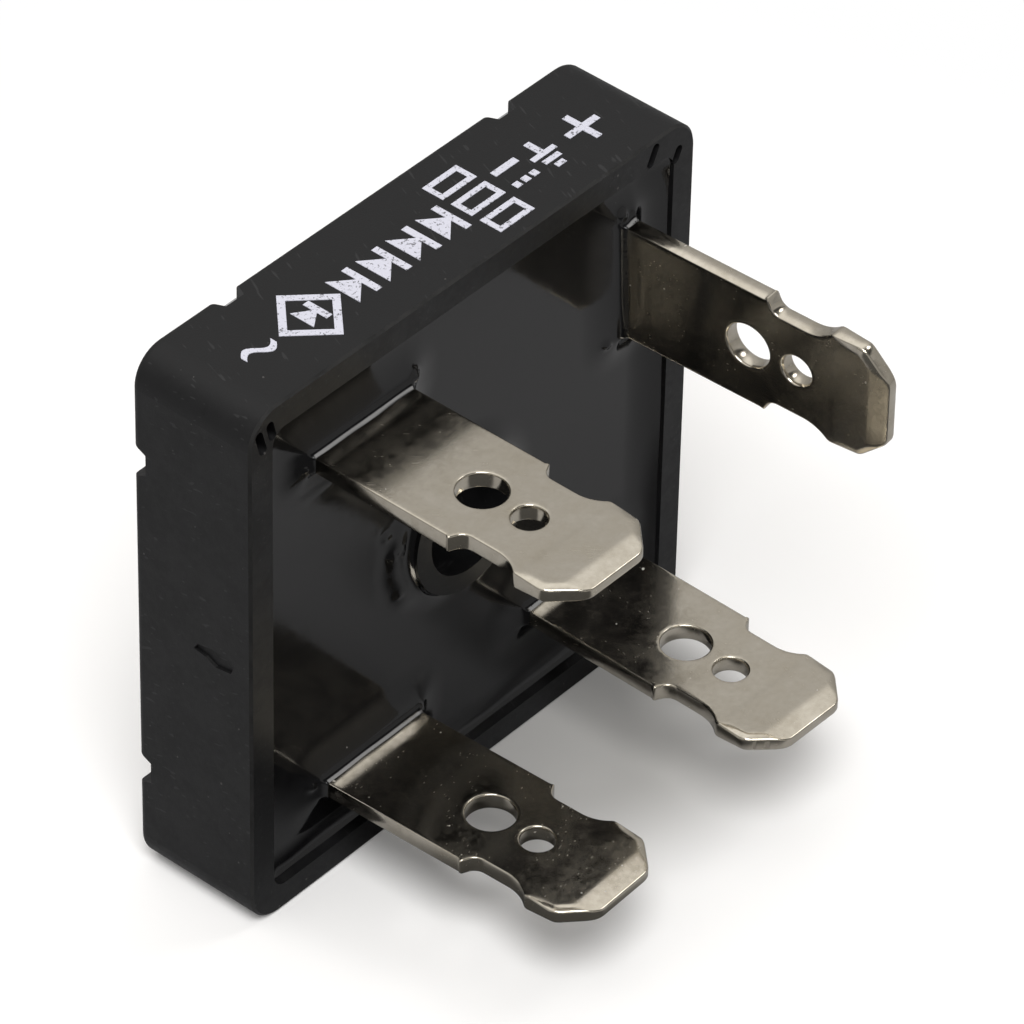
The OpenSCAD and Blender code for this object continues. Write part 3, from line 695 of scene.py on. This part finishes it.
def resinHeight(points):
    half = body["width"] / 2 - body["wall"]
    x, y = points.T
    rise = np.zeros(len(points))
    for side, away in (("right", half - x), ("left", half + x), ("upper", half - y), ("lower", half + y)):
        rise += climb(away, pool[side + "Climb"])
    rise *= 1 + 0.12 * wander(points, 3, 5.0)
    for seat in terminalSeats.values():
        away = bladeDistance(points, bladeShape, seat, pool["level"])
        rise += climb(away, pool["bladeClimb"]) * (1 + 0.1 * wander(points, 8, 4.0))
    around = np.hypot(points[:, 0], points[:, 1])
    rise += climb(around - body["sleeveRadius"], pool["sleeveClimb"])
    spill = pool["overflow"]
    turn = np.degrees(np.arctan2(points[:, 1], points[:, 0])) % 360
    middle, spread = (spill["from"] + spill["to"]) / 2, (spill["to"] - spill["from"]) / 2
    ridge = np.exp(-((around - spill["radius"] - 0.1 * wander(points, 5, 2.5)) / spill["width"]) ** 2)
    rise += spill["height"] * ridge * np.exp(-((turn - middle) / spread) ** 4)
    for x, y, radius, bead in pool["beads"]:
        near = np.hypot(points[:, 0] - x, points[:, 1] - y) / radius
        rise += bead * np.exp(-near ** 2 * 1.4)
    # it levels off softly just under the rim
    room, soft = body["rim"] - 0.02 - pool["level"], 0.05
    return pool["level"] + room - soft * np.logaddexp(0, (room - rise) / soft)


def ringsRoundBlades():
    # points that crowd in towards each blade, where the resin climbs
    points = []
    half, thick = bladeShape["width"] / 2, bladeShape["thick"] / 2
    for seat in terminalSeats.values():
        rise = pool["level"] - seat["foot"] - bladeShape["thick"]
        turn = Matrix.Rotation(radians(seat["turn"]), 3, "Z")
        shift = leanOf(seat) @ Vector((0, 0, rise))
        for away in (0.0, 0.04, 0.08, 0.13, 0.19, 0.27, 0.37, 0.5):
            corners = []
            for x, y, start in ((1, 1, 0), (-1, 1, 90), (-1, -1, 180), (1, -1, 270)):
                corners += arcPoints(x * half, y * thick, max(away, 1e-3), start, start + 90, 6)
            for u, t in evenly(corners, 0.07 + 0.12 * away):
                spot = turn @ (Vector((u, t, 0)) + shift)
                points.append((spot.x + seat["x"], spot.y + seat["y"]))
    return np.array(points)


def makePotting():
    outer = roundedSquare(body["width"] / 2 - body["wall"] - 0.02, body["cavityRadius"] - 0.02, 0.12)
    radius = body["sleeveRadius"] + 0.01
    hole = np.array([(radius * cos(radians(a)), radius * sin(radians(a))) for a in range(360, 0, -2)])
    flat, faces, borders = meshInside(outer, [hole], pool["step"], [0.04, 0.09, 0.15, 0.23, 0.33],
                                      ringsRoundBlades())
    height = resinHeight(flat)
    verts = [(x, y, h) for (x, y), h in zip(flat, height)]
    polygons = [tuple(f) for f in faces]
    floorStart = len(verts)
    rims = [flat[b] for b in borders]
    below = meshInside(rims[0], [rims[1]], 2.5, [0.5])
    verts += [(x, y, body["sheetTop"]) for x, y in below[0]]
    polygons += [tuple(floorStart + i for i in reversed(f)) for f in below[1]]
    for top, bottom in zip(borders, below[2]):
        count = len(top)
        for i in range(count):
            j = (i + 1) % count
            polygons.append((top[j], top[i], floorStart + bottom[i], floorStart + bottom[j]))
    return makePiece("resin_pool", standUp(verts), polygons, pottingResin, "potting", 50)


makePotting()
print("potting made")

studio = {
    "floorSize": 1.6,
    "keyFrom": (-0.17, -0.17, 0.40),
    "keySize": 0.24,
    "keyPower": 1.6,
    "skyLow": 0.4,
    "skyMid": 0.55,
    "skyHigh": 1.15,
    "paintedShadeCentre": (0.005, -0.009, -0.0143),  # the centre of the painted shade on the floor, its darkest place
    "paintedShadeColour": (0.45, 0.44, 0.42, 1),
    "floorWhite": (1.0, 0.99, 0.98, 1),
    "floorGrey": (0.4, 0.4, 0.405, 1),  # as the part sees it
    "floorDark": (0.08, 0.08, 0.08, 1),  # as the part sees it, in front on the left
    "skyColour": (1.0, 0.985, 0.965, 1),
    "front": 0.1,  # share of the sky's light that is left high in front of the part
    "strip": 5.0,  # a small bright patch overhead, as from a lamp
    "stripAt": (0.573, -0.25, 0.78),
    "lens": 268.4,
    "camera": (-0.19176, -0.17127, 0.21459),
    "azimuth": -49.84,
    "elevation": 40.30,
    "roll": 1.30,
}


def makeFloor():
    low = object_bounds()[0]
    s = studio["floorSize"]
    mesh = bpy.data.meshes.new("floor")
    z = low[2]
    mesh.from_pydata([(-s, -s, z), (s, -s, z), (s, s, z), (-s, s, z)], [], [(0, 1, 2, 3)])
    floor = bpy.data.objects.new("floor", mesh)
    bpy.context.scene.collection.objects.link(floor)
    material = bpy.data.materials.new("floor card")
    material.use_nodes = True
    tree = material.node_tree
    tree.nodes.clear()
    path = tree.nodes.new("ShaderNodeLightPath")
    coords = tree.nodes.new("ShaderNodeTexCoord")
    spot = addNode(tree, "SeparateXYZ", {0: coords.outputs["Object"]})
    left = ramp(tree, spot.outputs[0], 0.004, -0.005)
    near = ramp(tree, spot.outputs[1], -0.007, -0.013)
    grey = mixColour(tree, maths(tree, "MULTIPLY", left, near),
                     studio["floorGrey"], studio["floorDark"])
    # painted shade: as the camera sees it, the floor is coloured darker at the corner between the part and
    # the floor
    fromPaintedShade = addNode(tree, "VectorMath", {0: coords.outputs["Object"], 1: studio["paintedShadeCentre"]},
                    operation="DISTANCE").outputs["Value"]
    whiteWithPaintedShade = mixColour(tree, ramp(tree, fromPaintedShade, 0.004, 0.012),
                     studio["paintedShadeColour"], studio["floorWhite"])
    white = mixColour(tree, path.outputs["Is Camera Ray"], grey, whiteWithPaintedShade)
    card = addNode(tree, "BsdfDiffuse", {"Color": white})
    glow = addNode(tree, "Emission", {"Color": (1, 1, 1, 1), "Strength": 1.0})
    away = addNode(tree, "VectorMath", {0: coords.outputs["Object"]}, operation="LENGTH").outputs["Value"]
    far = ramp(tree, away, 0.032, 0.06, 0.1, 1.0)
    share = maths(tree, "MULTIPLY", far, path.outputs["Is Camera Ray"])
    mix = addNode(tree, "MixShader", {0: share, 1: card.outputs[0], 2: glow.outputs[0]})
    output = tree.nodes.new("ShaderNodeOutputMaterial")
    tree.links.new(mix.outputs[0], output.inputs[0])
    mesh.materials.append(material)


def makeWorld():
    world = bpy.data.worlds.new("studio")
    bpy.context.scene.world = world
    world.use_nodes = True
    tree = world.node_tree
    tree.nodes.clear()
    coords = tree.nodes.new("ShaderNodeTexCoord")
    parts = addNode(tree, "SeparateXYZ", {0: coords.outputs["Generated"]})
    middle = ramp(tree, parts.outputs[2], 0.25, 0.64, studio["skyLow"], studio["skyMid"])
    high = ramp(tree, parts.outputs[2], 0.64, 0.86, 0.0, studio["skyHigh"] - studio["skyMid"])
    front = ramp(tree, parts.outputs[1], -0.3, 0.12, 1.0 - studio["front"], 0.0)
    raised = ramp(tree, parts.outputs[2], 0.46, 0.6)
    dimmed = maths(tree, "SUBTRACT", 1.0, maths(tree, "MULTIPLY", front, raised))
    strength = maths(tree, "MULTIPLY", maths(tree, "ADD", middle, high), dimmed)
    lamp = addNode(tree, "VectorMath", {0: coords.outputs["Generated"], 1: studio["stripAt"]},
                   operation="DISTANCE")
    strip = ramp(tree, lamp.outputs["Value"], 0.1, 0.16, studio["strip"], 0.0)
    strength = maths(tree, "ADD", strength, strip)
    back = addNode(tree, "Background", {"Color": studio["skyColour"], "Strength": strength})
    output = tree.nodes.new("ShaderNodeOutputWorld")
    tree.links.new(back.outputs[0], output.inputs[0])


def makeLight():
    light = bpy.data.lights.new("key", "AREA")
    light.shape = "DISK"
    light.size = studio["keySize"]
    light.energy = studio["keyPower"]
    lamp = bpy.data.objects.new("key", light)
    bpy.context.scene.collection.objects.link(lamp)
    lamp.location = studio["keyFrom"]
    lamp.rotation_euler = Vector(studio["keyFrom"]).to_track_quat("Z", "Y").to_euler()


def makeCamera():
    a, e, r = (radians(studio[key]) for key in ("azimuth", "elevation", "roll"))
    back = Vector((sin(a) * cos(e), -cos(a) * cos(e), sin(e)))
    right = Vector((cos(a), sin(a), 0))
    up = back.cross(right)
    right, up = cos(r) * right + sin(r) * up, cos(r) * up - sin(r) * right
    lens = bpy.data.cameras.new("camera")
    lens.lens = studio["lens"]
    lens.sensor_width = 36
    lens.clip_start = 0.01
    camera = bpy.data.objects.new("camera", lens)
    bpy.context.scene.collection.objects.link(camera)
    turn = Matrix((right, up, back)).transposed().to_4x4()
    camera.matrix_world = Matrix.Translation(studio["camera"]) @ turn
    bpy.context.scene.camera = camera


makeFloor()
makeWorld()
makeLight()
makeCamera()
bpy.context.scene.view_settings.view_transform = "Standard"
print("studio made")
